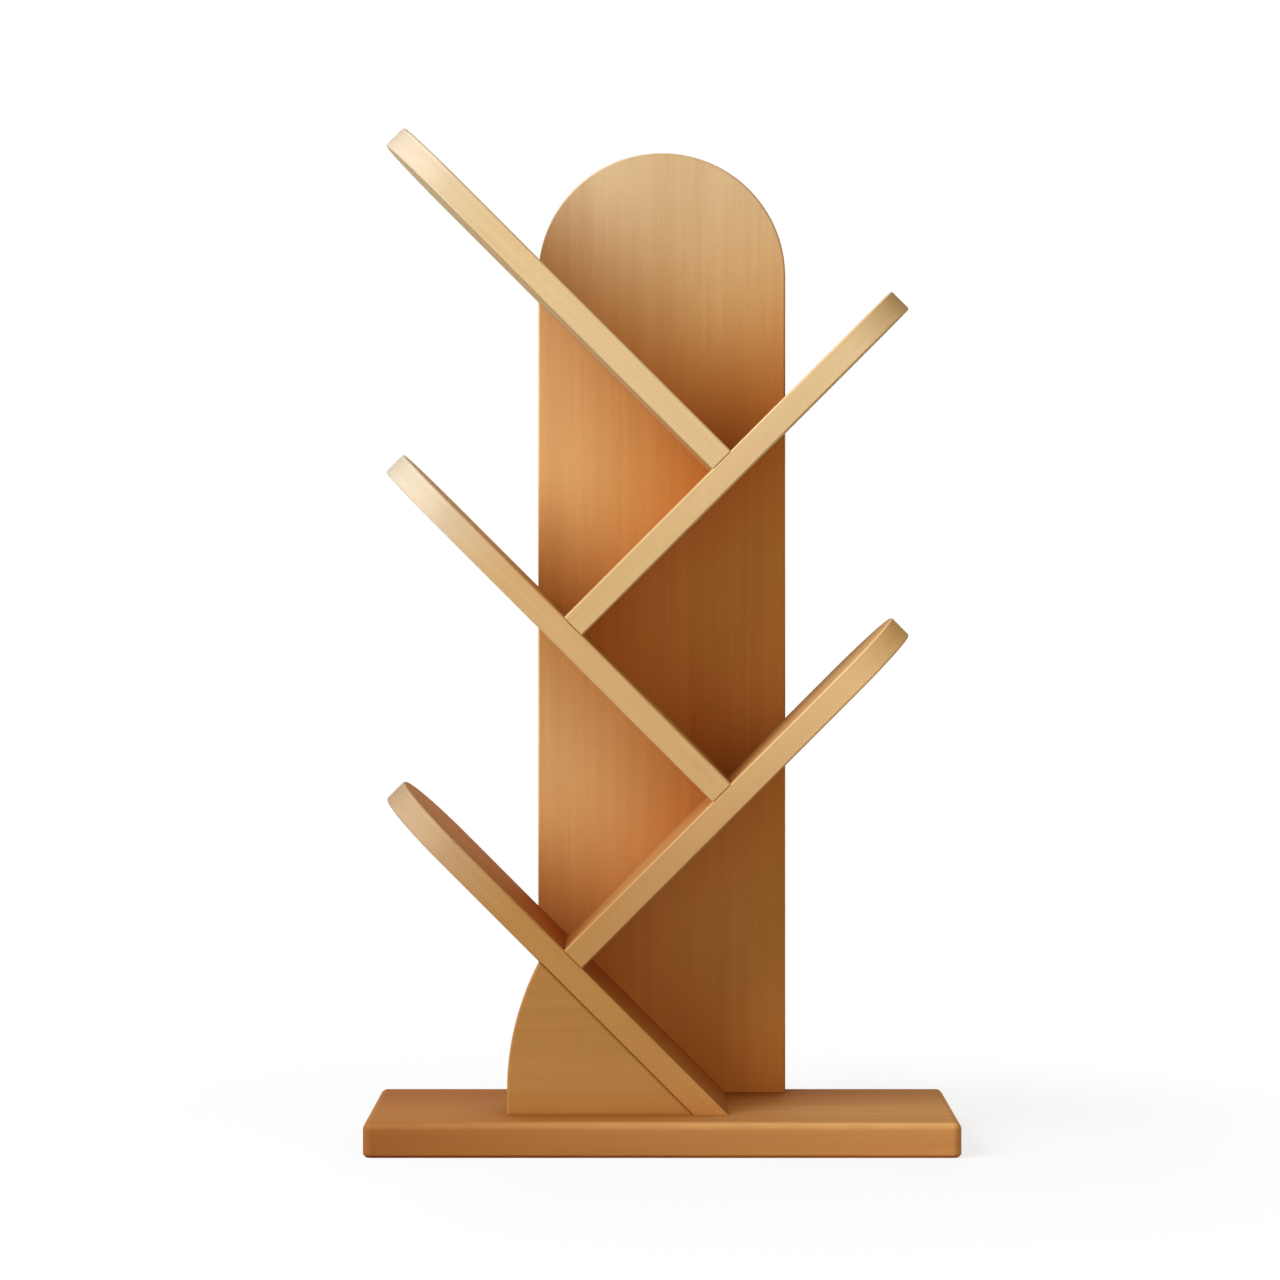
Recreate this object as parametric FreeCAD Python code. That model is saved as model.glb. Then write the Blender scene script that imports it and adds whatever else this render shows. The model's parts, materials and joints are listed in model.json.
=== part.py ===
import FreeCAD, Part
import math
import os

# Free-standing tree bookcase of beech-faced board, in millimetres.
# The origin is the middle of the base plank's underside: +X to the right, +Y to the back, +Z up.

# Base plank
base_length = 600.0
base_depth = 240.0
base_thickness = 36.0
base_corner_round = 9.0
base_top_round = 8.0
base_underside_chamfer = 3.0

# Back panel with its semicircular top, flush with the back of the base
panel_width = 262.0
panel_thickness = 25.0
panel_height = 996.0

# Slanted boards, which stand one on the face of the other
board_slope_degrees = 45.0
board_thickness = 26.0
board_setback = 50.0
leg_length = 473.0
leg_toe_from_centre = 67.5
first_joint_from_toe = 210.0
shelf_length = 477.0
clear_between_boards = 213.0
arris_chamfer = 1.5

# Gusset plate under the leg board
gusset_foot = 188.0
gusset_heel = 26.0
gusset_radius = 272.0

# Connecting screws with a hexagon socket, through one board into the end of the next
connector_length = 50.0
connector_head_diameter = 10.0
connector_head_depth = 2.5
connector_collar_diameter = 7.0
connector_collar_length = 14.0
connector_step_length = 1.0
connector_core_diameter = 5.0
connector_tip_length = 4.0
connector_tip_diameter = 3.0
socket_across_flats = 4.0
socket_depth = 3.0
joint_screw_inset = 35.0

# Countersunk wood screws with a cross recess
wood_screw_head_diameter = 9.0
wood_screw_head_depth = 2.5
wood_screw_tip_length = 6.0
wood_screw_tip_diameter = 1.0
cross_length = 4.6
cross_width = 1.2
cross_depth = 1.8

# Wood screws through the panel into the back edges of the boards
panel_screw_diameter = 4.5
panel_screw_bite = 25.0
leg_panel_screw_from_toe = 60.0
shelf_panel_screw_from_foot = 40.0
panel_screw_spacing = 130.0

# Wood screws up through the base into the panel, the leg board and the gusset
base_screw_diameter = 5.0
base_screw_bite = 24.0
panel_base_screw_inset = 75.0
leg_base_screw_inset = 40.0
leg_base_screw_share = 0.78
gusset_screw_from_heel = 35.0
gusset_screw_from_toe = 70.0

# Dowels
dowel_diameter = 8.0
dowel_length = 30.0
dowel_in_face = 12.0
dowel_chamfer = 1.0
joint_dowel_spacing = 40.0
panel_dowel_inset = 30.0
gusset_dowel_from_toe = 90.0
gusset_dowel_spacing = 90.0

# Fits and cuts
head_recess = 0.4
fit_clearance = 0.1
hole_spare = 0.5
overrun = 5.0
tolerance = 0.01

# The many small fasteners, nearly all of them inside the wood, are turned in flats
flats_per_turn = 16

# The boards lie in a slanted grid: one family rises to the left, the other to the right
slope = math.radians(board_slope_degrees)
up_left = FreeCAD.Vector(-math.cos(slope), 0, math.sin(slope))
up_right = FreeCAD.Vector(math.sin(slope), 0, math.cos(slope))
back = FreeCAD.Vector(0, 1, 0)
up = FreeCAD.Vector(0, 0, 1)

# Levels and depths that several pieces share
board_front = board_setback - base_depth / 2
board_depth = base_depth - board_setback - panel_thickness
panel_front = board_front + board_depth
panel_middle = panel_front + panel_thickness / 2
foot_cut = board_thickness / math.sin(slope)
gusset_toe_x = leg_toe_from_centre - foot_cut


class Board:
    """A slanted board. Its corner is the front of its underside at its lower end."""

    def __init__(self, node, corner, run, rise, length, joint_from_foot, screw_from_foot):
        self.node = node
        self.corner = corner
        self.run = run
        self.rise = rise
        self.length = length
        self.joint_from_foot = joint_from_foot
        self.screw_from_foot = screw_from_foot

    def point(self, along, depth, height):
        """A place on the board: up its length, back from its front edge and above its underside."""
        return self.corner + self.run * along + back * depth + self.rise * height

    def next_shelf(self, node):
        """The shelf whose lower end stands on this board's upper face and leans the other way."""
        corner = self.point(self.joint_from_foot, 0, board_thickness)
        return Board(node, corner, self.rise, self.run, shelf_length, clear_between_boards, shelf_panel_screw_from_foot)


leg_toe = FreeCAD.Vector(leg_toe_from_centre, board_front, base_thickness)
leg_corner = leg_toe - up_right * board_thickness
leg = Board("leg_board", leg_corner, up_left, up_right, leg_length, first_joint_from_toe, leg_panel_screw_from_toe)
lower_right = leg.next_shelf("lower_right_shelf")
middle_left = lower_right.next_shelf("middle_left_shelf")
upper_right = middle_left.next_shelf("upper_right_shelf")
top_left = upper_right.next_shelf("top_left_shelf")
shelves = [lower_right, middle_left, upper_right, top_left]
boards = [leg] + shelves


def plate(outline, push):
    """A plate from its outline, a chain of lines, or of arcs where a middle point is given."""
    edges = []
    for start, middle, end in outline:
        if middle is None:
            edges.append(Part.LineSegment(start, end).toShape())
        else:
            edges.append(Part.Arc(start, middle, end).toShape())
    return Part.Face(Part.Wire(edges)).extrude(push)


def eased(blank, corner, rise, thickness, meets_another):
    """The plate with the arrises of both its faces taken off, but for those where it meets another piece."""
    arrises = []
    for edge in blank.Edges:
        middle = edge.CenterOfMass
        height = (middle - corner).dot(rise)
        on_a_face = min(abs(height), abs(height - thickness)) < tolerance
        if on_a_face and not meets_another(middle):
            arrises.append(edge)
    return blank.makeChamfer(arris_chamfer, arrises)


def slanted_board(board):
    """A board with a square lower end for its joint and a semicircular free end."""
    shoulder = board.length - board_depth / 2
    front_foot = board.point(0, 0, 0)
    front_shoulder = board.point(shoulder, 0, 0)
    tip = board.point(board.length, board_depth / 2, 0)
    back_shoulder = board.point(shoulder, board_depth, 0)
    back_foot = board.point(0, board_depth, 0)
    outline = [
        (front_foot, None, front_shoulder),
        (front_shoulder, tip, back_shoulder),
        (back_shoulder, None, back_foot),
        (back_foot, None, front_foot),
    ]

    def at_joint(middle):
        return (middle - board.corner).dot(board.run) < tolerance

    blank = plate(outline, board.rise * board_thickness)
    return eased(blank, board.corner, board.rise, board_thickness, at_joint)


def leg_board():
    """The lowest board, cut level where it stands on the base."""
    low_point = leg.corner.z - overrun
    corner = FreeCAD.Vector(gusset_toe_x - overrun, board_front - overrun, low_point)
    waste = Part.makeBox(foot_cut + 2 * overrun, board_depth + 2 * overrun, base_thickness - low_point, corner)
    return slanted_board(leg).cut(waste)


def rim(plank, level):
    """The edges round a plank at one level, but for the one at the back."""
    edges = []
    for edge in plank.Edges:
        middle = edge.CenterOfMass
        if abs(middle.z - level) < tolerance and middle.y < base_depth / 2 - tolerance:
            edges.append(edge)
    return edges


def base_plank():
    """The plank on the floor, with rounded front corners, a rounded top and a chamfered underside."""
    corner = FreeCAD.Vector(-base_length / 2, -base_depth / 2, 0)
    plank = Part.makeBox(base_length, base_depth, base_thickness, corner)
    front_corners = []
    for edge in plank.Edges:
        middle = edge.CenterOfMass
        if abs(middle.z - base_thickness / 2) < tolerance and middle.y < 0:
            front_corners.append(edge)
    plank = plank.makeFillet(base_corner_round, front_corners)
    plank = plank.makeFillet(base_top_round, rim(plank, base_thickness))
    return plank.makeChamfer(base_underside_chamfer, rim(plank, 0))


def back_panel():
    """The upright panel, with straight sides that run into its semicircular top."""
    half = panel_width / 2
    spring = base_thickness + panel_height - half
    left_foot = FreeCAD.Vector(-half, panel_front, base_thickness)
    left_spring = FreeCAD.Vector(-half, panel_front, spring)
    crown = FreeCAD.Vector(0, panel_front, spring + half)
    right_spring = FreeCAD.Vector(half, panel_front, spring)
    right_foot = FreeCAD.Vector(half, panel_front, base_thickness)
    outline = [
        (left_foot, None, left_spring),
        (left_spring, crown, right_spring),
        (right_spring, None, right_foot),
        (right_foot, None, left_foot),
    ]

    def on_base(middle):
        return middle.z < base_thickness + tolerance

    return eased(plate(outline, back * panel_thickness), left_foot, back, panel_thickness, on_base)


def leg_gusset():
    """The plate under the leg board: a level foot, a short upright heel, and an arc from it up to the leg."""
    toe = FreeCAD.Vector(gusset_toe_x, board_front, base_thickness)
    heel = toe - FreeCAD.Vector(gusset_foot, 0, 0)
    heel_top = heel + up * gusset_heel
    centre = heel_top + FreeCAD.Vector(gusset_radius, 0, 0)
    # The arc ends on the underside of the leg, this far up from the toe
    from_centre = toe - centre
    to_foot = -from_centre.dot(up_left)
    reach = to_foot + math.sqrt(to_foot ** 2 - from_centre.dot(from_centre) + gusset_radius ** 2)
    peak = toe + up_left * reach
    halfway = heel_top + peak - centre * 2
    bulge = centre + halfway * (gusset_radius / halfway.Length)
    outline = [
        (toe, None, heel),
        (heel, None, heel_top),
        (heel_top, bulge, peak),
        (peak, None, toe),
    ]

    def on_base_or_leg(middle):
        return middle.z < base_thickness + tolerance or (middle - toe).dot(up_right) > -tolerance

    return eased(plate(outline, back * board_thickness), toe, back, board_thickness, on_base_or_leg)


def stood(solid, seat, direction):
    """The solid, modelled upright at the origin, moved to its seat and turned to its direction."""
    solid.Placement = FreeCAD.Placement(seat, FreeCAD.Rotation(up, direction))
    return solid


def ring(radius, sides, distance):
    """The corners of a regular ring at a distance up the axis, the first of them repeated to close it."""
    corners = []
    for step in range(sides + 1):
        turn = 2 * math.pi * step / sides
        corners.append(FreeCAD.Vector(radius * math.cos(turn), radius * math.sin(turn), distance))
    return corners


def turned(profile, seat, direction):
    """A turned solid: its profile gives a radius at each distance from the seat."""
    rings = [ring(radius, flats_per_turn, distance) for radius, distance in profile]
    outlines = [rings[0], rings[-1]]
    for low, high in zip(rings, rings[1:]):
        for step in range(flats_per_turn):
            outlines.append([low[step], low[step + 1], high[step + 1], high[step], low[step]])
    faces = [Part.Face(Part.makePolygon(corners)) for corners in outlines]
    return stood(Part.Solid(Part.Shell(faces)), seat, direction)


def screw_hole(profile):
    """The profile of a screw's hole: its head's cone carried on outwards, then wider by the fit, past the tip."""
    head_radius, head_top = profile[0]
    neck_radius, neck = profile[1]
    flare = (head_radius - neck_radius) / (neck - head_top)
    mouth = (head_radius + flare * (head_top + overrun), -overrun)
    bottom = (profile[-2][0], profile[-1][1] + hole_spare)
    return [(radius + fit_clearance, distance) for radius, distance in [mouth] + profile[1:-2] + [bottom]]


def connecting_screw(seat, direction):
    """A connecting screw with its hexagon socket, and the stepped hole that it goes through."""
    collar_end = head_recess + connector_collar_length
    tip = head_recess + connector_length
    profile = [
        (connector_head_diameter / 2, head_recess),
        (connector_collar_diameter / 2, head_recess + connector_head_depth),
        (connector_collar_diameter / 2, collar_end),
        (connector_core_diameter / 2, collar_end + connector_step_length),
        (connector_core_diameter / 2, tip - connector_tip_length),
        (connector_tip_diameter / 2, tip),
    ]
    hexagon = Part.Face(Part.makePolygon(ring(socket_across_flats / math.sqrt(3), 6, 0)))
    socket = stood(hexagon.extrude(up * (head_recess + socket_depth)), seat, direction)
    return turned(profile, seat, direction).cut(socket), turned(screw_hole(profile), seat, direction)


def wood_screw(seat, direction, diameter, length):
    """A countersunk screw with its cross recess, and the hole that it goes through."""
    profile = [
        (wood_screw_head_diameter / 2, head_recess),
        (diameter / 2, head_recess + wood_screw_head_depth),
        (diameter / 2, length - wood_screw_tip_length),
        (wood_screw_tip_diameter / 2, length),
    ]
    cross = []
    for width, depth in ((cross_length, cross_width), (cross_width, cross_length)):
        corner = FreeCAD.Vector(-width / 2, -depth / 2, 0)
        cross.append(Part.makeBox(width, depth, head_recess + cross_depth, corner))
    recess = stood(cross[0].fuse(cross[1]), seat, direction)
    return turned(profile, seat, direction).cut(recess), turned(screw_hole(profile), seat, direction)


def dowel(seat, direction):
    """A dowel with chamfered ends, and the blind holes that it fills in its two pieces."""
    radius = dowel_diameter / 2
    peg = [
        (radius - dowel_chamfer, 0),
        (radius, dowel_chamfer),
        (radius, dowel_length - dowel_chamfer),
        (radius - dowel_chamfer, dowel_length),
    ]
    hole = [(radius + fit_clearance, -hole_spare), (radius + fit_clearance, dowel_length + hole_spare)]
    return turned(peg, seat, direction), turned(hole, seat, direction)


def base_screw(x, y):
    """A screw up through the base into what stands at that place."""
    return wood_screw(FreeCAD.Vector(x, y, 0), up, base_screw_diameter, base_thickness + base_screw_bite)


# Wooden pieces
pieces = {
    "base_plank": base_plank(),
    "back_panel": back_panel(),
    "leg_board": leg_board(),
    "leg_gusset": leg_gusset(),
}
for shelf in shelves:
    pieces[shelf.node] = slanted_board(shelf)
fasteners = {}


def fix(node, fasteners_and_holes, first, second):
    """Keeps the fasteners of one place as a node and drills their holes in the two pieces."""
    fasteners[node] = Part.makeCompound([fastener for fastener, hole in fasteners_and_holes])
    holes = [hole for fastener, hole in fasteners_and_holes]
    pieces[first] = pieces[first].cut(holes)
    pieces[second] = pieces[second].cut(holes)


# Each shelf to the board that it stands on: screws from below, dowels between them
for lower, upper in zip(boards, shelves):
    along = lower.joint_from_foot + board_thickness / 2
    screws = []
    for depth in (joint_screw_inset, board_depth - joint_screw_inset):
        screws.append(connecting_screw(lower.point(along, depth, 0), lower.rise))
    dowels = []
    for side in (-1, 1):
        depth = (board_depth + side * joint_dowel_spacing) / 2
        dowels.append(dowel(lower.point(along, depth, board_thickness - dowel_in_face), lower.rise))
    fix(upper.node + "_joint_screws", screws, lower.node, upper.node)
    fix(upper.node + "_joint_dowels", dowels, lower.node, upper.node)

# The panel to the back edge of each board
for board in boards:
    screws = []
    for along in (board.screw_from_foot, board.screw_from_foot + panel_screw_spacing):
        seat = board.point(along, board_depth + panel_thickness, board_thickness / 2)
        screws.append(wood_screw(seat, -back, panel_screw_diameter, panel_thickness + panel_screw_bite))
    fix(board.node + "_panel_screws", screws, "back_panel", board.node)

# The base to the foot of the panel
screws = []
dowels = []
for side in (-1, 1):
    screws.append(base_screw(side * (panel_width / 2 - panel_base_screw_inset), panel_middle))
    dowel_x = side * (panel_width / 2 - panel_dowel_inset)
    dowels.append(dowel(FreeCAD.Vector(dowel_x, panel_middle, base_thickness - dowel_in_face), up))
fix("panel_base_screws", screws, "base_plank", "back_panel")
fix("panel_base_dowels", dowels, "base_plank", "back_panel")

# The base to the leg board, where the level cut leaves the most wood above the screws
screws = []
for screw_y in (board_front + leg_base_screw_inset, panel_front - leg_base_screw_inset):
    screws.append(base_screw(leg_toe_from_centre - foot_cut * leg_base_screw_share, screw_y))
fix("leg_base_screws", screws, "base_plank", "leg_board")

# The gusset to the base and to the underside of the leg board
gusset_middle = board_front + board_thickness / 2
screws = [
    base_screw(gusset_toe_x - gusset_foot + gusset_screw_from_heel, gusset_middle),
    base_screw(gusset_toe_x - gusset_screw_from_toe, gusset_middle),
]
fix("gusset_base_screws", screws, "base_plank", "leg_gusset")
dowels = []
for along in (gusset_dowel_from_toe, gusset_dowel_from_toe + gusset_dowel_spacing):
    dowels.append(dowel(leg.point(along, board_thickness / 2, dowel_in_face), -up_right))
fix("gusset_leg_dowels", dowels, "leg_board", "leg_gusset")

os.makedirs("parts", exist_ok=True)
for node, shape in {**pieces, **fasteners}.items():
    shape.exportStep("parts/" + node + ".step")
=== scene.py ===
import json
import math

import bmesh
import bpy
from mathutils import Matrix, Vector

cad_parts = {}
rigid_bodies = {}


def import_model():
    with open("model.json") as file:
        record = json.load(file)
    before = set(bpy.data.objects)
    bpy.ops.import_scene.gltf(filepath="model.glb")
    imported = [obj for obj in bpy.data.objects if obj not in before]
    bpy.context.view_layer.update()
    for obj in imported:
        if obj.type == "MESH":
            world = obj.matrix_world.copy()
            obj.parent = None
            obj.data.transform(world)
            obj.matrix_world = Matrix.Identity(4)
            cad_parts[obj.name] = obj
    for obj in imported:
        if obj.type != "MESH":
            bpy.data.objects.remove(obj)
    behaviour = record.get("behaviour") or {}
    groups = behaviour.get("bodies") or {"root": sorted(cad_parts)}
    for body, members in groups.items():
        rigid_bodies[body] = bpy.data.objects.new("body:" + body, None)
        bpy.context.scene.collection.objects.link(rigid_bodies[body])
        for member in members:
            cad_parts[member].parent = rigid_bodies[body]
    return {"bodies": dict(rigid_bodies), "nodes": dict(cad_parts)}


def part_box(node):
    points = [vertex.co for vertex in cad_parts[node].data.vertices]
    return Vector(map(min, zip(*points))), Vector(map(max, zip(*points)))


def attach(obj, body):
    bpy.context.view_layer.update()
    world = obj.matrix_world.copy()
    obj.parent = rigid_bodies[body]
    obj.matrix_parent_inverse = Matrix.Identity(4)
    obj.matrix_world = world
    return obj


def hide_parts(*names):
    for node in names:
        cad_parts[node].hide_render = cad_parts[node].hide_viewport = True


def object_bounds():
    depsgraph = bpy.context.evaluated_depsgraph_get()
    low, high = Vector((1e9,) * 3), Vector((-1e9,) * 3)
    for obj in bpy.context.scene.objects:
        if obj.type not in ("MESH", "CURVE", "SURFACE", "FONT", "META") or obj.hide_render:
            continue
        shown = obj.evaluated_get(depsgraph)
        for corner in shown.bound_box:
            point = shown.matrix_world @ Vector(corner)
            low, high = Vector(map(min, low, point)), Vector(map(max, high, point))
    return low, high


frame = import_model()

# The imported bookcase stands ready, and anything else in a new scene goes. Everything is
# deselected, so that each operator below acts only on the piece that it is meant for.
cad_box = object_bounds()
bookcase = list(frame["nodes"].values()) + list(frame["bodies"].values())
for spare in list(bpy.data.objects):
    if spare not in bookcase:
        bpy.data.objects.remove(spare)
bpy.ops.object.select_all(action="DESELECT")

# Base plank
# A 36 mm beech-faced plank that lies on the floor with its grain along it. Its front corners
# and its top edges are rounded over, and it is sprayed with a satin lacquer like all the wood.


class Number:
    """A number in a finish, on which Python's signs put Math nodes."""

    def __init__(self, finish, socket):
        self.finish = finish
        self.socket = socket

    def __add__(self, other):
        return self.finish.maths("ADD", self, other)

    def __sub__(self, other):
        return self.finish.maths("SUBTRACT", self, other)

    def __rsub__(self, other):
        return self.finish.maths("SUBTRACT", other, self)

    def __mul__(self, other):
        return self.finish.maths("MULTIPLY", self, other)

    def __truediv__(self, other):
        return self.finish.maths("DIVIDE", self, other)

    __radd__ = __add__
    __rmul__ = __mul__


class Finish:
    """The nodes of one material, or of the world, put together one by one."""

    def __init__(self, owner):
        self.owner = owner
        owner.use_nodes = True
        self.tree = owner.node_tree
        self.tree.nodes.clear()

    def node(self, kind, settings, sockets):
        """A node of that kind: its settings are set first, then its sockets get values or links."""
        made = self.tree.nodes.new("ShaderNode" + kind)
        for name, value in settings.items():
            setattr(made, name, value)
        for name, value in sockets.items():
            if isinstance(value, Number):
                value = value.socket
            if isinstance(value, bpy.types.NodeSocket):
                self.tree.links.new(value, made.inputs[name])
            else:
                made.inputs[name].default_value = value
        return made

    def maths(self, operation, *values):
        """A Math node's result, from Numbers and plain numbers."""
        made = self.node("Math", {"operation": operation}, dict(enumerate(values)))
        return Number(self, made.outputs[0])

    def rising(self, value, low, high):
        """0 below low, 1 above high, and a soft slope between them."""
        softly = {"interpolation_type": "SMOOTHSTEP"}
        made = self.node("MapRange", softly, {0: value, 1: low, 2: high})
        return Number(self, made.outputs[0])

    def axes(self, origin, turn):
        """Places on the piece as three Numbers, from an origin and turned about Y."""
        where = self.node("TexCoord", {}, {}).outputs["Object"]
        turned = {"Vector": where, "Location": origin, "Rotation": (0, turn, 0)}
        local = self.node("Mapping", {"vector_type": "TEXTURE"}, turned)
        parts = self.node("SeparateXYZ", {}, {0: local.outputs[0]})
        return [Number(self, part) for part in parts.outputs]

    def facing(self, direction):
        """How far the surface faces one way or the other along a direction, 0 to 1."""
        normal = self.node("TexCoord", {}, {}).outputs["Normal"]
        dot = self.node("VectorMath", {"operation": "DOT_PRODUCT"}, {0: normal, 1: direction})
        return self.maths("ABSOLUTE", Number(self, dot.outputs["Value"]))

    def noise(self, place, waves, detail, distortion=0.0):
        """Noise over a place, with so many waves a metre along each of its three axes."""
        joined = self.node("CombineXYZ", {}, dict(enumerate(place))).outputs[0]
        scaled = self.node("VectorMath", {"operation": "MULTIPLY"}, {0: joined, 1: waves})
        made = self.node("TexNoise", {}, {
            "Vector": scaled.outputs[0], "Scale": 1.0, "Detail": detail, "Distortion": distortion,
        })
        return Number(self, made.outputs[0])

    def blend(self, share, first, second, how="MIX"):
        """Two colours blended, by a share of the second."""
        settings = {"data_type": "RGBA", "blend_type": how}
        return self.node("Mix", settings, {0: share, 6: first, 7: second}).outputs[2]

    def tinted(self, colour, amount, strengths):
        """A colour changed by an amount times a strength in each of red, green and blue."""
        parts = [1 + amount * strength for strength in strengths]
        tint = self.node("CombineXYZ", {}, dict(enumerate(parts)))
        return self.blend(1.0, colour, tint.outputs[0], "MULTIPLY")

    def bumped(self, height, depth, edge_radius):
        """The surface's normal with so deep a relief, and with every edge eased by a radius."""
        eased = self.node("Bevel", {"samples": 6}, {"Radius": edge_radius}).outputs[0]
        relief = {"Strength": 1.0, "Distance": depth, "Height": height, "Normal": eased}
        return self.node("Bump", {}, relief).outputs[0]


def tone(red, green, blue):
    """A colour that is given as on a screen, 0 to 255, as the shader takes it."""
    linear = [((part / 255 + 0.055) / 1.055) ** 2.4 for part in (red, green, blue)]
    return (*linear, 1.0)


def beech_grain(finish, colour, place):
    """Beech figure on a place whose first axis runs with the grain: a colour, and a height."""
    sheet_waves, ring_waves = (0.8, 11, 11), (2.2, 75, 75)
    fibre_waves, fleck_waves = (14, 600, 600), (230, 1500, 1500)
    sheets = finish.noise(place, sheet_waves, 1.0) - 0.5
    rings = finish.noise(place, ring_waves, 3.0, 0.3) - 0.5
    fibres = finish.noise(place, fibre_waves, 2.0) - 0.5
    flecks = finish.rising(finish.noise(place, fleck_waves, 1.0), 0.62, 0.72)
    colour = finish.tinted(colour, sheets, (0.22, 0.30, 0.42))
    colour = finish.tinted(colour, rings, (0.20, 0.30, 0.44))
    colour = finish.tinted(colour, fibres, (0.10, 0.14, 0.20))
    colour = finish.tinted(colour, flecks, (-0.10, -0.15, -0.20))
    return colour, rings * 0.6 + fibres * 0.4


def patches(finish, place, waves):
    """Soft patches over a place, 0 to 1, for wear that isn't even."""
    return finish.rising(finish.noise(place, (waves, waves, waves), 2.0), 0.35, 0.6)


def closed_in(finish, reach):
    """How far the surface is closed in by what stands within reach of it, 0 to 1: a mask for
    painted shade.
    """
    open_round = finish.node("AmbientOcclusion", {"samples": 8}, {"Distance": reach})
    return 1 - Number(finish, open_round.outputs["AO"])


def lacquered(finish, colour, height):
    """Satin lacquer over the wood, with painted shade that makes it richer in the corners."""
    colour = finish.tinted(colour, closed_in(finish, reach=0.13), (-0.24, -0.60, -0.90))
    wood = finish.node("BsdfPrincipled", {}, {
        "Base Color": colour,
        "Roughness": 0.70 - height * 0.12,
        "Normal": finish.bumped(height, depth=0.00004, edge_radius=0.0009),
        "IOR": 1.33,
        "Specular IOR Level": 0.12,
    })
    finish.node("OutputMaterial", {}, {"Surface": wood.outputs[0]})


def dress(node, finish):
    """Gives a piece of the bookcase its finish."""
    slots = frame["nodes"][node].data.materials
    for index in range(len(slots)):
        slots[index] = finish.owner


base_low, base_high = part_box("base_plank")
base_finish = Finish(bpy.data.materials.new("beech of the base plank"))
base_place = base_finish.axes(base_low, 0)
from_left_end = base_place[0] / (base_high.x - base_low.x)
from_front = base_place[1] / (base_high.y - base_low.y)
base_colour = base_finish.blend(from_left_end, tone(170, 118, 65), tone(225, 179, 119))
# The veneer on top is a deeper sheet, and painted shade deepens it: it is paler to the front,
# darker to the back and dark along what stands on it
base_top = base_finish.blend(from_left_end, tone(172, 115, 63), tone(190, 139, 82))
base_top = base_finish.tinted(base_top, 0.5 - from_front, (0.14, 0.26, 0.28))
base_top = base_finish.tinted(base_top, closed_in(base_finish, reach=0.06), (-0.50, -0.50, -0.90))
facing_up = base_finish.facing((0, 0, 1))
base_colour = base_finish.blend(base_finish.rising(facing_up, 0.8, 0.98), base_colour, base_top)
base_colour, base_height = beech_grain(base_finish, base_colour, base_place)
# The round over the edges is paler in patches: worn, and a painted highlight
rounded_over = base_finish.rising(facing_up * (1 - facing_up), 0.08, 0.25)
base_rubbed_and_highlight = rounded_over * patches(base_finish, base_place, waves=25)
base_colour = base_finish.tinted(base_colour, base_rubbed_and_highlight, (0.08, 0.09, 0.10))
lacquered(base_finish, base_colour, base_height)
dress("base_plank", base_finish)

# Back panel
# A 25 mm beech-faced panel with a round top, its grain upright. It stands on the back of the
# base on dowels, screwed from below, and a beech edging is glued round its rim.


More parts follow.
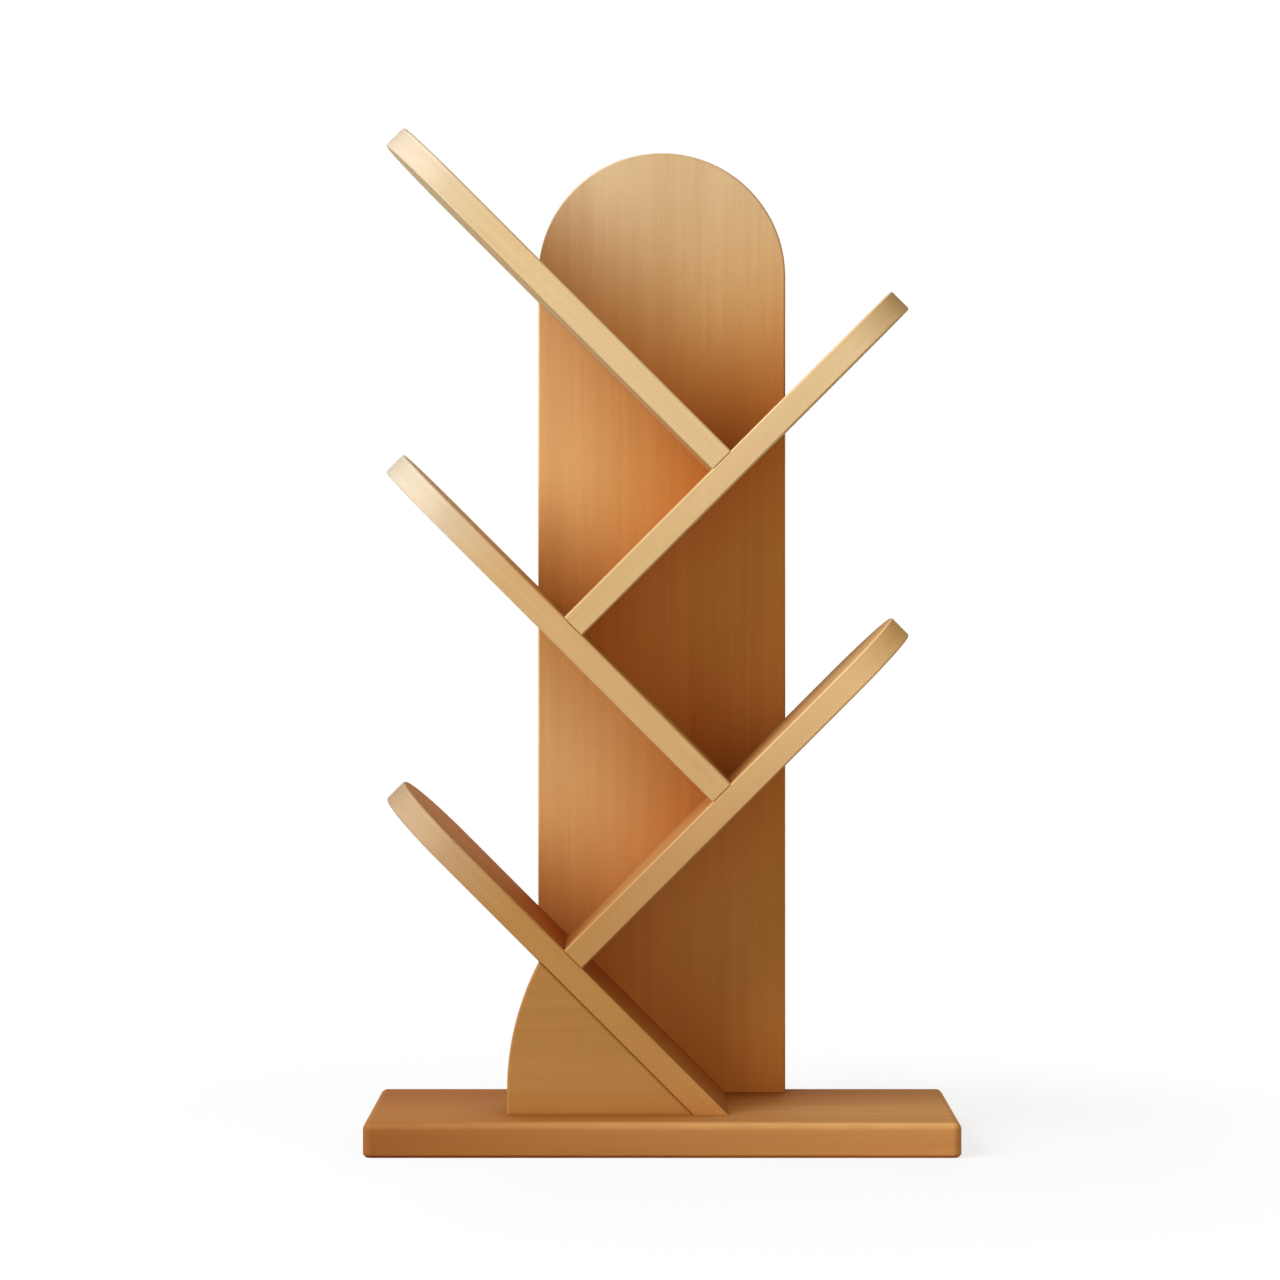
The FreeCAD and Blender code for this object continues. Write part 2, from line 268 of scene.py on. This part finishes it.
def edged_board(
    finish, place, size, flat_axis, veneer_tones, edging_tones, paling_from,
    end_painted_light=0.0, foot_painted_light=0.0,
):
    """Finishes a board with a round end: veneer on its faces and edging round its rim.

    The place runs along the board, across it from one side, and through it from one face. The
    tones are those of its foot and of its end, to which it pales from a share of its length on:
    painted light, paler up towards the top. The end's painted light darkens the edging round an
    end that faces the lamp and lightens one that faces away, and the foot's painted light lifts
    the edging near the foot.
    """
    along, across, through = place
    board_end, half_width, thickness = size
    shoulder = board_end - half_width
    from_middle = across - half_width
    beyond = finish.maths("MAXIMUM", along - shoulder, 0.0)
    from_rim = half_width - finish.maths("SQRT", beyond * beyond + from_middle * from_middle)
    on_edge = 1 - finish.rising(finish.facing(flat_axis), 0.80, 0.90)
    pale = finish.rising(along, board_end * paling_from, board_end)

    # Through a sheet of veneer or edging the figure hardly changes
    through_sheet = 0.02
    veneer_colour = finish.blend(pale, *veneer_tones)
    veneer_place = along, across, through * through_sheet
    veneer, veneer_height = beech_grain(finish, veneer_colour, veneer_place)

    # Round the end, the edging's grain follows the rim
    bend = finish.maths("ARCTAN2", beyond, finish.maths("ABSOLUTE", from_middle))
    round_rim = finish.maths("MINIMUM", along, shoulder) + bend * half_width
    edging_colour = finish.blend(pale, *edging_tones)
    # Painted shade on ends that face the lamp, painted light on ends that face away; all the edging
    # shifts a little as well
    edging_colour = finish.tinted(edging_colour, 0.06 + bend * end_painted_light, (0.9, 1.05, 1.0))
    # Painted light lifts the edging near the foot, against the painted corner shade there
    foot_length = 0.13
    near_foot = 1 - finish.rising(along, 0.0, foot_length)
    edging_colour = finish.tinted(edging_colour, near_foot * foot_painted_light, (0.17, 0.28, 0.45))
    edging_place = round_rim, across * through_sheet, through
    edging, edging_height = beech_grain(finish, edging_colour, edging_place)

    # The glue line of the edging, and the arris where the lacquer has worn thin
    edging_thickness, glue_full, glue_gone = 0.0021, 0.00008, 0.00022
    from_glue = finish.maths("ABSOLUTE", from_rim - edging_thickness)
    glue = (1 - finish.rising(from_glue, glue_full, glue_gone)) * (1 - on_edge)
    from_face = finish.maths("ABSOLUTE", through)
    depth_in = finish.maths("MINIMUM", from_face, thickness - from_face)
    rubbed_full, rubbed_gone = 0.0008, 0.0030
    from_arris = from_rim + finish.maths("MAXIMUM", depth_in, 0.0)
    rubbed = 1 - finish.rising(from_arris, rubbed_full, rubbed_gone)
    rubbed = rubbed * patches(finish, place, waves=30)

    colour = finish.blend(on_edge, veneer, edging)
    colour = finish.tinted(colour, glue, (-0.22, -0.28, -0.34))
    colour = finish.tinted(colour, rubbed, (0.05, 0.06, 0.07))
    height = veneer_height + (edging_height - veneer_height) * on_edge
    lacquered(finish, colour, height - glue * 0.6)


panel_low, panel_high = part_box("back_panel")
panel_size = panel_high - panel_low
panel_finish = Finish(bpy.data.materials.new("beech of the back panel"))
upward, backward, leftward = panel_finish.axes(panel_low, math.radians(-90))
rightward = 0 - leftward
from_left_side = leftward / -panel_size.x
# Painted light: its foot is paler on the left, the side the light comes from, and so is its
# head, across to three fifths of its width
panel_foot = panel_finish.blend(from_left_side, tone(222, 180, 124), tone(209, 154, 86))
head_light_fade = panel_finish.rising(from_left_side, 0.0, 0.6)
panel_head = panel_finish.blend(head_light_fade, tone(230, 206, 168), tone(218, 191, 149))
edged_board(
    panel_finish, (upward, rightward, backward),
    (panel_size.z, panel_size.x / 2, panel_size.y), flat_axis=(0, 1, 0),
    veneer_tones=(panel_foot, panel_head), edging_tones=(panel_foot, panel_head),
    paling_from=0.70,
)
dress("back_panel", panel_finish)

# Slanted boards
# Five 26 mm beech-faced boards with round ends, edged like the panel, with the grain along
# them. The leg board is cut level at its foot, and each of the others butts on the one below.
board_thickness = 0.026
left, right = -1, 1
# Their tones grow paler higher up the bookcase, painted light from above
board_looks = {
    "leg_board": (left, {
        "veneer_tones": (tone(181, 121, 62), tone(200, 150, 103)),
        "edging_tones": (tone(184, 138, 80), tone(202, 175, 141)),
        "paling_from": 0.60, "end_painted_light": -0.22, "foot_painted_light": 1.0,
    }),
    "lower_right_shelf": (right, {
        "veneer_tones": (tone(186, 138, 84), tone(205, 163, 110)),
        "edging_tones": (tone(189, 145, 92), tone(231, 199, 149)),
        "paling_from": 0.0, "end_painted_light": 0.14,
    }),
    "middle_left_shelf": (left, {
        "veneer_tones": (tone(204, 165, 112), tone(212, 184, 142)),
        "edging_tones": (tone(208, 173, 123), tone(225, 215, 191)),
        "paling_from": 0.62, "end_painted_light": -0.21,
    }),
    "upper_right_shelf": (right, {
        "veneer_tones": (tone(207, 174, 121), tone(217, 186, 138)),
        "edging_tones": (tone(213, 183, 132), tone(231, 207, 165)),
        "paling_from": 0.0, "end_painted_light": 0.08,
    }),
    "top_left_shelf": (left, {
        "veneer_tones": (tone(215, 186, 138), tone(219, 194, 153)),
        "edging_tones": (tone(219, 193, 148), tone(225, 212, 188)),
        "paling_from": 0.66, "end_painted_light": -0.20,
    }),
}
# How far level grain is turned about Y to run up a board, by the side it rises to
board_turns = {left: math.radians(-135), right: math.radians(-45)}
slant = math.sqrt(0.5)
# By board: the foot of its underside, the way along it, and the way up through it
board_feet = {}
for node, (side, looks) in board_looks.items():
    low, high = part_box(node)
    heel = board_thickness * slant
    foot_x = low.x + heel if side == right else high.x - heel
    reach = high.x - foot_x if side == right else foot_x - low.x
    foot = Vector((foot_x, low.y, high.z - reach - heel))
    up_through = Vector((-side * slant, 0, slant))
    board_feet[node] = foot, Vector((side * slant, 0, slant)), up_through
    board_finish = Finish(bpy.data.materials.new("beech of the " + node.replace("_", " ")))
    edged_board(
        board_finish, board_finish.axes(foot, board_turns[side]),
        (reach / slant, (high.y - low.y) / 2, board_thickness), up_through, **looks,
    )
    dress(node, board_finish)

# Leg gusset
# A 26 mm plate with a curved side that fills the corner under the leg board. It is dowelled
# to the leg and screwed from under the base, with its grain level.
gusset_finish = Finish(bpy.data.materials.new("beech of the leg gusset"))
gusset_place = gusset_finish.axes(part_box("leg_gusset")[0], 0)
above_base = gusset_place[2]
gusset_colour, gusset_height = beech_grain(gusset_finish, tone(184, 136, 78), gusset_place)
# Painted light lifts its foot, against the painted corner shade near the base
foot_light_height = 0.09
gusset_foot_light = 1 - gusset_finish.rising(above_base, 0.0, foot_light_height)
gusset_colour = gusset_finish.tinted(gusset_colour, gusset_foot_light, (0.13, 0.28, 0.40))
# Along its eased arrises where it meets the leg and the base, painted shade draws a soft dark line
under_leg = gusset_finish.axes(board_feet["leg_board"][0], board_turns[left])[2]
from_joint = gusset_finish.maths("MINIMUM", under_leg, above_base)
joint_shade_full, joint_shade_gone = 0.0005, 0.0035
joint_painted_shade = 1 - gusset_finish.rising(from_joint, joint_shade_full, joint_shade_gone)
gusset_colour = gusset_finish.tinted(gusset_colour, joint_painted_shade, (-0.16, -0.22, -0.36))
lacquered(gusset_finish, gusset_colour, gusset_height)
dress("leg_gusset", gusset_finish)

# Connecting screws
# Zinc-plated steel screws, 50 mm long, with a flat head and a hexagon socket. They go up
# through each board into the foot of the next, and their coarse thread is rolled on a core.


def zinc_plated(name):
    """Bright zinc over steel, a little mottled, and duller where a driver has touched an edge."""
    finish = Finish(bpy.data.materials.new(name))
    place = finish.axes((0, 0, 0), 0)
    mottle = finish.noise(place, waves=(300, 300, 300), detail=3.0) - 0.5
    grit = finish.noise(place, waves=(4000, 4000, 4000), detail=2.0) - 0.5
    eased = finish.node("Bevel", {"samples": 6}, {"Radius": 0.0003}).outputs[0]
    straight = finish.node("NewGeometry", {}, {}).outputs["Normal"]
    alike = finish.node("VectorMath", {"operation": "DOT_PRODUCT"}, {0: eased, 1: straight})
    edge = finish.rising(1 - Number(finish, alike.outputs["Value"]), 0.02, 0.25)
    colour = finish.tinted(tone(203, 206, 208), mottle, (0.16, 0.13, 0.04))
    colour = finish.tinted(colour, grit, (0.08, 0.08, 0.08))
    colour = finish.tinted(colour, edge, (-0.16, -0.18, -0.20))
    metal = finish.node("BsdfPrincipled", {}, {
        "Base Color": colour,
        "Metallic": 1.0,
        "Roughness": 0.34 + mottle * 0.3 + edge * 0.12,
        "Normal": finish.bumped(grit, depth=0.00002, edge_radius=0.0002),
    })
    finish.node("OutputMaterial", {}, {"Surface": metal.outputs[0]})
    return finish


def pick_open_edges():
    """Selects the edges that have a face on one side at most."""
    mesh = bmesh.from_edit_mesh(bpy.context.object.data)
    bpy.ops.mesh.select_all(action="DESELECT")
    for edge in mesh.edges:
        if len(edge.link_faces) < 2:
            edge.select_set(True)
    bmesh.update_edit_mesh(bpy.context.object.data)


def ring_round(radius, height):
    """Puts the head's rim round what is in edit mode, and fills the face between them."""
    rim_points = 36
    bpy.ops.mesh.primitive_circle_add(vertices=rim_points, radius=radius, location=(0, 0, height))
    pick_open_edges()
    bpy.ops.mesh.fill()


def draw_out(profile):
    """Draws the selected rim out along the axis, to a radius at each height of the profile."""
    for (radius, height), (next_radius, next_height) in zip(profile, profile[1:]):
        rise = {"value": (0, 0, next_height - height)}
        bpy.ops.mesh.extrude_edges_move(TRANSFORM_OT_translate=rise)
        scale = next_radius / radius
        bpy.ops.transform.resize(value=(scale, scale, 1), center_override=(0, 0, 0))


def closed(sharp_from):
    """Turns the active piece's faces outward and smooths all but its sharp edges."""
    bpy.ops.object.mode_set(mode="EDIT")
    bpy.ops.mesh.select_all(action="SELECT")
    bpy.ops.mesh.normals_make_consistent(inside=False)
    bpy.ops.object.mode_set(mode="OBJECT")
    bpy.ops.object.transform_apply()
    bpy.ops.object.shade_smooth_by_angle(angle=sharp_from)
    bpy.ops.object.select_all(action="DESELECT")
    return bpy.context.object


def finish_screw(profile, core, crest, thread_start, thread_end, pitch):
    """Draws the shank and the thread out of the head's face that is in edit mode."""
    screw = bpy.context.object
    pick_open_edges()
    draw_out(profile)
    bpy.ops.mesh.edge_face_add()
    bpy.ops.object.mode_set(mode="OBJECT")
    bpy.ops.object.select_all(action="DESELECT")

    # The thread: a diamond on the core's side, wound up round the axis and sunk into the core
    diamond_corners, steps_round = 4, 24
    bpy.ops.mesh.primitive_circle_add(
        vertices=diamond_corners, radius=crest - core, location=(core, 0, thread_start),
        rotation=(math.radians(90), 0, 0),
    )
    thread = bpy.context.object
    bpy.ops.object.transform_apply()
    wound = thread.modifiers.new("wound", "SCREW")
    wound.axis = "Z"
    wound.steps = wound.render_steps = steps_round
    wound.screw_offset = pitch
    wound.iterations = int((thread_end - thread_start) / pitch)
    bpy.ops.object.modifier_apply(modifier=wound.name)
    bpy.ops.object.mode_set(mode="EDIT")
    pick_open_edges()
    sunk = core / crest
    bpy.ops.transform.resize(value=(sunk, sunk, 1), center_override=(0, 0, 0))
    bpy.ops.mesh.fill_holes(sides=diamond_corners)
    bpy.ops.object.mode_set(mode="OBJECT")
    screw.select_set(True)
    bpy.context.view_layer.objects.active = screw
    bpy.ops.object.join()
    return closed(math.radians(35))


def fit(model, node, name, seats, direction, finish):
    """Copies a model to its seats, turned along the way it is driven, as one piece for a node."""
    copies = []
    for seat in seats:
        model.select_set(True)
        bpy.context.view_layer.objects.active = model
        bpy.ops.object.duplicate()
        copy = bpy.context.object
        copy.rotation_euler = Vector(direction).to_track_quat("Z", "Y").to_euler()
        copy.location = seat
        bpy.ops.object.transform_apply()
        bpy.ops.object.select_all(action="DESELECT")
        copies.append(copy)
    for copy in copies:
        copy.select_set(True)
    bpy.ops.object.join()
    piece = bpy.context.object
    piece.name = piece.data.name = name
    piece.data.materials.append(finish.owner)
    bpy.ops.object.select_all(action="DESELECT")
    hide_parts(node)
    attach(piece, "root")


zinc = zinc_plated("zinc plate")
# All the screws' heads have their face just below the wood, with a broken edge, a short
# straight rim and a countersink under it. Heights count from the wood's face to the tip.
head_face, edge_break, rim_start, rim_end, head_foot = 0.0004, 0.0003, 0.0006, 0.0008, 0.0029
connector_head, connector_shank, connector_core, connector_crest = 0.0050, 0.0035, 0.0019, 0.0025
connector_neck, connector_length = 0.0140, 0.0504
# A screw's profile: its radius at each height
connector_profile = [
    (connector_head - edge_break, head_face),
    (connector_head, rim_start),
    (connector_head, rim_end),
    (connector_shank, head_foot),
    (connector_shank, connector_neck),
    (connector_shank - 0.0002, connector_neck + 0.0004),
    (connector_core, connector_neck + 0.0014),
    (connector_core, connector_length - 0.0040),
    (0.0012, connector_length - 0.0004),
    (0.0007, connector_length),
]
socket_across_flats, socket_floor = 0.0040, 0.0034
socket_radius = socket_across_flats / math.sqrt(3)
socket_mouth = socket_radius * 1.06
bpy.ops.mesh.primitive_circle_add(vertices=6, radius=socket_mouth, location=(0, 0, head_face))
bpy.ops.object.mode_set(mode="EDIT")
draw_out([(socket_mouth, head_face), (socket_radius, rim_start), (socket_radius, socket_floor)])
bpy.ops.mesh.edge_face_add()
ring_round(*connector_profile[0])
connector = finish_screw(
    connector_profile, connector_core, connector_crest,
    thread_start=0.0170, thread_end=0.0455, pitch=0.0028,
)
for board, (foot, along, through) in board_feet.items():
    node = board + "_joint_screws"
    if node in frame["nodes"]:
        low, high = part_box(node)
        seat = foot + through * board_thickness / 2 - along * board_thickness
        seats = [(seat.x, y, seat.z) for y in (low.y + connector_head, high.y - connector_head)]
        fit(connector, node, node + "_threaded", seats, along, zinc)
bpy.data.objects.remove(connector)

# Panel screws
# Zinc-plated wood screws, 4.5 by 50 mm, countersunk in the back of the panel. Each board has
# two, driven forward into the middle of its back edge.
wood_head = 0.0045


def wood_screw(diameter, length):
    """A countersunk wood screw with a cross recess, standing on its head."""
    cross_length, cross_width, cross_depth, cross_taper = 0.0046, 0.0012, 0.0018, 0.6
    third = cross_length / 3
    bpy.ops.mesh.primitive_grid_add(
        x_subdivisions=3, y_subdivisions=3, size=cross_length, location=(0, 0, head_face),
    )
    bpy.ops.object.mode_set(mode="EDIT")
    mesh = bmesh.from_edit_mesh(bpy.context.object.data)
    narrower = cross_width / third
    for axis, scale in ((0, (narrower, 1, 1)), (1, (1, narrower, 1))):
        bpy.ops.mesh.select_all(action="DESELECT")
        for vert in mesh.verts:
            vert.select_set(abs(vert.co[axis]) < third)
        mesh.select_flush(True)
        bpy.ops.transform.resize(value=scale, center_override=(0, 0, 0))
    ring_round(wood_head - edge_break, head_face)

    # The cross in the grid's middle sinks into the head, and narrows on its way
    mesh = bmesh.from_edit_mesh(bpy.context.object.data)
    bpy.ops.mesh.select_all(action="DESELECT")
    for face in mesh.faces:
        middle = face.calc_center_median()
        aside, out = sorted((abs(middle.x), abs(middle.y)))
        face.select_set(out < cross_length / 2 and aside < cross_width / 2)
    bpy.ops.mesh.extrude_region_move(TRANSFORM_OT_translate={"value": (0, 0, cross_depth)})
    taper = (cross_taper, cross_taper, 1)
    bpy.ops.transform.resize(value=taper, center_override=(0, 0, 0))

    crest = diameter / 2
    shank, core = crest * 0.92, crest * 0.72
    neck = length * 0.38
    profile = [
        (wood_head - edge_break, head_face),
        (wood_head, rim_start),
        (wood_head, rim_end),
        (shank, head_foot),
        (shank, neck),
        (core, neck + 0.0010),
        (core, length - 0.0060),
        (0.0003, length),
    ]
    return finish_screw(
        profile, core, crest,
        thread_start=neck + 0.0020, thread_end=length - 0.0050, pitch=0.0022,
    )


panel_screw = wood_screw(diameter=0.0045, length=0.050)
for board, (_, along, _) in board_feet.items():
    node = board + "_panel_screws"
    low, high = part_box(node)
    lower, upper = low.z + wood_head, high.z - wood_head
    heights = (lower, upper) if along.x > 0 else (upper, lower)
    sides = low.x + wood_head, high.x - wood_head
    seats = [(x, panel_high.y, z) for x, z in zip(sides, heights)]
    fit(panel_screw, node, node + "_threaded", seats, (0, -1, 0), zinc)
bpy.data.objects.remove(panel_screw)

# Base screws
# Longer zinc-plated wood screws, 5 by 60 mm, countersunk in the underside of the base. They
# hold the panel, the leg board and the gusset down on it.
base_screw = wood_screw(diameter=0.0050, length=0.060)
for node in ("panel_base_screws", "leg_base_screws", "gusset_base_screws"):
    low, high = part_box(node)
    seats = [
        (low.x + wood_head, low.y + wood_head, base_low.z),
        (high.x - wood_head, high.y - wood_head, base_low.z),
    ]
    fit(base_screw, node, node + "_threaded", seats, (0, 0, 1), zinc)
bpy.data.objects.remove(base_screw)

# Dowels
# Raw beech dowels, 8 by 30 mm, with a fluted side that lets the glue out and chamfered ends.
# They place each shelf on the board below, the panel on the base and the gusset on the leg.


def raw_dowel(name, turn):
    """Unlacquered beech with its grain along the dowels, which lie turned about Y."""
    finish = Finish(bpy.data.materials.new(name))
    place = finish.axes((0, 0, 0), turn)
    colour, height = beech_grain(finish, tone(224, 192, 150), place)
    end_grain = finish.rising(finish.facing((math.cos(turn), 0, -math.sin(turn))), 0.7, 0.9)
    colour = finish.tinted(colour, end_grain, (-0.25, -0.30, -0.36))
    wood = finish.node("BsdfPrincipled", {}, {
        "Base Color": colour,
        "Roughness": 0.78 - height * 0.15,
        "Normal": finish.bumped(height, depth=0.00006, edge_radius=0.0002),
        "Specular IOR Level": 0.2,
    })
    finish.node("OutputMaterial", {}, {"Surface": wood.outputs[0]})
    return finish


dowel_radius, dowel_length, dowel_chamfer = 0.004, 0.030, 0.001
dowel_end = dowel_radius - dowel_chamfer
flutes, flute_points, groove = 16, 3, 0.93
bpy.ops.mesh.primitive_circle_add(
    vertices=flutes * flute_points, radius=dowel_end, location=(0, 0, 0), fill_type="NGON",
)
bpy.ops.object.mode_set(mode="EDIT")
pick_open_edges()
draw_out([
    (dowel_end, 0.0),
    (dowel_radius, dowel_chamfer),
    (dowel_radius, dowel_length - dowel_chamfer),
    (dowel_end, dowel_length),
])
bpy.ops.mesh.edge_face_add()
# One point in three round the side is drawn in, which makes the flutes
bpy.ops.mesh.select_all(action="DESELECT")
dowel_mesh = bmesh.from_edit_mesh(bpy.context.object.data)
for vert in dowel_mesh.verts:
    way_round = math.atan2(vert.co.y, vert.co.x) / math.tau * flutes * flute_points
    in_side = math.hypot(vert.co.x, vert.co.y) > (dowel_end + dowel_radius) / 2
    vert.select_set(in_side and round(way_round) % flute_points == 0)
bpy.ops.transform.resize(value=(groove, groove, 1), center_override=(0, 0, 0))
bpy.ops.object.mode_set(mode="OBJECT")
dowel = closed(math.radians(30))

upright_beech = raw_dowel("raw beech, upright", math.radians(-90))
node = "panel_base_dowels"
low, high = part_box(node)
middle = (low.y + high.y) / 2
seats = [(x, middle, low.z) for x in (low.x + dowel_radius, high.x - dowel_radius)]
fit(dowel, node, node + "_fluted", seats, (0, 0, 1), upright_beech)

leaning_beech = {
    left: raw_dowel("raw beech, leaning left", board_turns[left]),
    right: raw_dowel("raw beech, leaning right", board_turns[right]),
}
dowel_in_face = 0.012
for board, (foot, along, through) in board_feet.items():
    node = board + "_joint_dowels"
    if node in frame["nodes"]:
        low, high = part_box(node)
        start = foot + through * board_thickness / 2 - along * dowel_in_face
        seats = [(start.x, y, start.z) for y in (low.y + dowel_radius, high.y - dowel_radius)]
        beech = leaning_beech[board_looks[board][0]]
        fit(dowel, node, node + "_fluted", seats, along, beech)

# The gusset's two stand square to the leg, from the gusset's side of the joint up to it
node = "gusset_leg_dowels"
gusset_dowel_spacing = 0.090
_, leg_along, leg_through = board_feet["leg_board"]
low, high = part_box(node)
end_middle = (low + high) / 2 + leg_through * dowel_length / 2
seats = [end_middle + leg_along * gusset_dowel_spacing * share for share in (-0.5, 0.5)]
fit(dowel, node, node + "_fluted", seats, -leg_through, leaning_beech[right])
bpy.data.objects.remove(dowel)

# Floor
# A plain pale studio floor that runs to the horizon. It is white to the camera but for the
# bookcase's own soft shadow.


def looked_at(finish):
    """1 where the camera or a gloss looks, and 0 where light only bounces."""
    paths = finish.node("LightPath", {}, {}).outputs
    by_camera, by_gloss = paths["Is Camera Ray"], paths["Is Glossy Ray"]
    return finish.maths("MAXIMUM", Number(finish, by_camera), Number(finish, by_gloss))


floor_size, white_start, white_end = 60, 0.25, 0.85
bpy.ops.mesh.primitive_plane_add(size=floor_size, location=(0, 0, 0))
floor = bpy.context.object
floor.name = "studio_floor"
paper = Finish(bpy.data.materials.new("pale studio floor"))
floor_x, floor_y, _ = paper.axes((0, 0, 0), 0)
from_bookcase = paper.maths("SQRT", floor_x * floor_x + floor_y * floor_y)
far = paper.rising(from_bookcase, white_start, white_end)
# What light bounces off, and what is seen: near the bookcase faint shadows, further off white
matte = paper.node("BsdfDiffuse", {}, {"Color": (0.47, 0.50, 0.54, 1)})
faint = paper.node("BsdfDiffuse", {}, {"Color": (0.23, 0.26, 0.29, 1)})
glow = paper.node("Emission", {}, {"Color": (1, 1, 1, 1), "Strength": 0.78})
near = paper.node("AddShader", {}, {0: faint.outputs[0], 1: glow.outputs[0]})
white = paper.node("Emission", {}, {"Color": (1, 1, 1, 1), "Strength": 1.0})
shown = paper.node("MixShader", {}, {0: far, 1: near.outputs[0], 2: white.outputs[0]})
lit = paper.node("MixShader", {}, {0: looked_at(paper), 1: matte.outputs[0], 2: shown.outputs[0]})
paper.node("OutputMaterial", {}, {"Surface": lit.outputs[0]})
# The glow is only to be looked at, so it isn't sampled as a lamp, which would leave grain
paper.owner.cycles.emission_sampling = "NONE"
floor.data.materials.append(paper.owner)
bpy.ops.object.select_all(action="DESELECT")

# Studio light
# A large soft lamp high on the left, a weak warm one on the right, one behind for the back of
# the panel, and a dim warm room that is white only where the camera or a gloss looks at it.


def lamp(name, place, size, power, colour):
    """A square soft lamp that faces the middle of the bookcase."""
    bpy.ops.object.light_add(type="AREA", location=place)
    made = bpy.context.object
    made.name = name
    made.data.size = size
    made.data.energy = power
    made.data.color = colour
    away = made.location - (cad_box[0] + cad_box[1]) / 2
    made.rotation_euler = away.to_track_quat("Z", "Y").to_euler()
    bpy.ops.object.select_all(action="DESELECT")
    return made


lamp(
    "soft lamp on the left",
    place=(-2.44, -1.74, 2.14), size=2.5, power=138, colour=(1, 1, 1),
)
lamp(
    "soft lamp on the right",
    place=(1.5, -2.1, 1.1), size=2.0, power=19, colour=(1, 0.70, 0.38),
)
behind = lamp(
    "soft lamp behind",
    place=(0.4, 2.9, 0.9), size=1.6, power=40, colour=(1, 0.93, 0.82),
)
# It leaves no streak on the base, which the photograph's own light doesn't show
behind.visible_glossy = False

room = Finish(bpy.data.worlds.new("studio room"))
bpy.context.scene.world = room.owner
dim = room.node("Background", {}, {"Color": (1, 0.70, 0.42, 1), "Strength": 0.11})
bright = room.node("Background", {}, {"Color": (1, 1, 1, 1), "Strength": 1.0})
around = room.node("MixShader", {}, {0: looked_at(room), 1: dim.outputs[0], 2: bright.outputs[0]})
room.node("OutputWorld", {}, {"Surface": around.outputs[0]})

# Camera
# It looks straight at the front from 3.6 m away, a little above the bookcase's middle. Its
# small shift puts the bookcase where the photograph has it in the frame.
camera_place, level = (-0.0072, -3.690, 0.5665), (math.radians(90), 0, 0)
bpy.ops.object.camera_add(location=camera_place, rotation=level)
camera = bpy.context.object
camera.name = "camera"
camera.data.lens = 100.4
camera.data.sensor_width = 36
camera.data.shift_x = -0.0117
camera.data.shift_y = -0.0375
bpy.context.scene.camera = camera
bpy.ops.object.select_all(action="DESELECT")
bpy.context.scene.view_settings.view_transform = "Standard"
